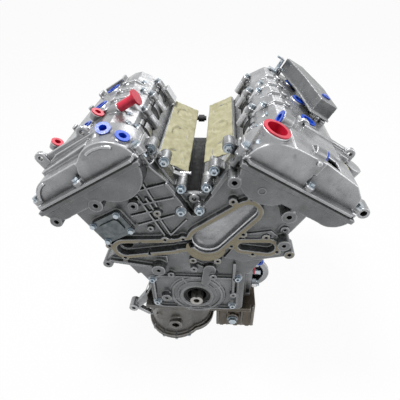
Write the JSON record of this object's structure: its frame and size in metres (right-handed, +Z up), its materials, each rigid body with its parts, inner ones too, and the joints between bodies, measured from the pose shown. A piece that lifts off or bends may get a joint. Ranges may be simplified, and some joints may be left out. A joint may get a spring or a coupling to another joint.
{
  "type": "car engine",
  "caption": "Bare V-type car engine with cast front timing case, open coolant pump chamber, taped intake ports and capped openings.",
  "frame": {"origin": "crankshaft axis at the flywheel flange face", "axes": "+Z up, +Y to the rear (flywheel end), +X to the viewer's right when looking at the front"},
  "size_m": [0.6321, 0.466, 0.6576],
  "materials": {
    "block_cast": "as cast",
    "head_cast": "as cast",
    "case_cast": "as cast",
    "cover_cast": "as cast",
    "sump_cast": "as cast, stained",
    "pan_paint": "semi-gloss",
    "zinc_steel": "zinc plated",
    "dark_plate": "dark zinc",
    "gasket_steel": "matt",
    "machined_iron": "machined",
    "dark_steel": "oiled",
    "guide_plastic": "matt",
    "piston_alloy": "machined",
    "black_plate": "matt black",
    "black_plastic": "matt",
    "seal_rubber": "matt",
    "tape": "creped masking tape",
    "red_plastic": "satin",
    "blue_plastic": "satin"
  },
  "bodies": {
    "engine": {"block": "block_cast", "main_caps": "block_cast", "rear_seal_housing": "cover_cast", "rear_seal": "seal_rubber", "upper_sump": "sump_cast", "lower_pan": "pan_paint", "drain_plug": "zinc_steel", "head_left": "head_cast", "head_right": "head_cast", "head_gaskets": "gasket_steel", "cam_housing_left": "cover_cast", "cam_housing_right": "cover_cast", "cam_caps_left": "cover_cast", "cam_caps_right": "cover_cast", "cover_left": "cover_cast", "cover_right": "cover_cast", "timing_cover": "case_cast", "steel_plate": "dark_plate", "front_seal": "seal_rubber", "primary_chains": "dark_steel", "secondary_chains": "dark_steel", "chain_guides": "guide_plastic", "intake_valves": "dark_steel", "exhaust_valves": "dark_steel", "case_bolts": "zinc_steel", "cover_bolts": "zinc_steel", "plate_bolts": "zinc_steel", "sump_bolts": "zinc_steel", "valley_plate": "black_plate", "valley_sensor": "black_plastic", "coolant_pipe": "cover_cast", "tape_left": "tape", "tape_right": "tape", "red_rings": "red_plastic", "blue_plugs": "blue_plastic", "well_plugs": "blue_plastic", "baffle_box": "case_cast", "hanger": "zinc_steel", "side_housing": "cover_cast", "side_cover": "zinc_steel", "left_bracket": "cover_cast"},
    "crank": {"crankshaft": "machined_iron", "crank_sprocket": "machined_iron"},
    "cam_in_left": {"camshaft_in_left": "machined_iron", "phaser_in_left": "dark_steel"},
    "cam_ex_left": {"camshaft_ex_left": "machined_iron", "phaser_ex_left": "dark_steel"},
    "cam_in_right": {"camshaft_in_right": "machined_iron", "phaser_in_right": "dark_steel"},
    "cam_ex_right": {"camshaft_ex_right": "machined_iron", "phaser_ex_right": "dark_steel"},
    "piston_1": {"piston_1": "piston_alloy"},
    "piston_2": {"piston_2": "piston_alloy"},
    "piston_3": {"piston_3": "piston_alloy"},
    "piston_4": {"piston_4": "piston_alloy"},
    "piston_5": {"piston_5": "piston_alloy"},
    "piston_6": {"piston_6": "piston_alloy"},
    "filler_plug": {"filler_plug": "red_plastic"},
    "red_plug": {"red_plug": "red_plastic"}
  },
  "joints": [
    {"name": "crank_spin", "type": "hinge", "parent": "engine", "child": "crank", "pos_m": [0, 0, 0], "axis": [0, 1, 0], "continuous": true},
    {"name": "cam_in_left_spin", "type": "hinge", "parent": "engine", "child": "cam_in_left", "pos_m": [-0.13565, 0, 0.35296], "axis": [0, 1, 0], "continuous": true},
    {"name": "cam_ex_left_spin", "type": "hinge", "parent": "engine", "child": "cam_ex_left", "pos_m": [-0.23785, 0, 0.29396], "axis": [0, 1, 0], "continuous": true},
    {"name": "cam_in_right_spin", "type": "hinge", "parent": "engine", "child": "cam_in_right", "pos_m": [0.13565, 0, 0.35296], "axis": [0, 1, 0], "continuous": true},
    {"name": "cam_ex_right_spin", "type": "hinge", "parent": "engine", "child": "cam_ex_right", "pos_m": [0.23785, 0, 0.29396], "axis": [0, 1, 0], "continuous": true},
    {"name": "piston_1_slide", "type": "slide", "parent": "engine", "child": "piston_1", "axis": [-0.5, 0, 0.866], "range_m": [-0.083, 0]},
    {"name": "piston_2_slide", "type": "slide", "parent": "engine", "child": "piston_2", "axis": [0.5, 0, 0.866], "range_m": [-0.0163, 0.0667]},
    {"name": "piston_3_slide", "type": "slide", "parent": "engine", "child": "piston_3", "axis": [-0.5, 0, 0.866], "range_m": [-0.0163, 0.0667]},
    {"name": "piston_4_slide", "type": "slide", "parent": "engine", "child": "piston_4", "axis": [0.5, 0, 0.866], "range_m": [-0.083, 0]},
    {"name": "piston_5_slide", "type": "slide", "parent": "engine", "child": "piston_5", "axis": [-0.5, 0, 0.866], "range_m": [-0.0163, 0.0667]},
    {"name": "piston_6_slide", "type": "slide", "parent": "engine", "child": "piston_6", "axis": [0.5, 0, 0.866], "range_m": [-0.0163, 0.0667]},
    {"name": "filler_plug_pull", "type": "slide", "parent": "engine", "child": "filler_plug", "axis": [0.3892, -0.0872, 0.917], "range_m": [0, 0.05]},
    {"name": "red_plug_pull", "type": "slide", "parent": "engine", "child": "red_plug", "axis": [0.866, 0, 0.5], "range_m": [0, 0.05]}
  ],
  "couplings": [
    {"joint": "cam_in_left_spin", "follows": "crank_spin", "ratio": 0.5},
    {"joint": "cam_ex_left_spin", "follows": "crank_spin", "ratio": 0.5},
    {"joint": "cam_in_right_spin", "follows": "crank_spin", "ratio": 0.5},
    {"joint": "cam_ex_right_spin", "follows": "crank_spin", "ratio": 0.5},
    {"joint": "piston_4_slide", "follows": "piston_1_slide", "ratio": 1},
    {"joint": "piston_5_slide", "follows": "piston_2_slide", "ratio": 1},
    {"joint": "piston_6_slide", "follows": "piston_3_slide", "ratio": 1}
  ]
}
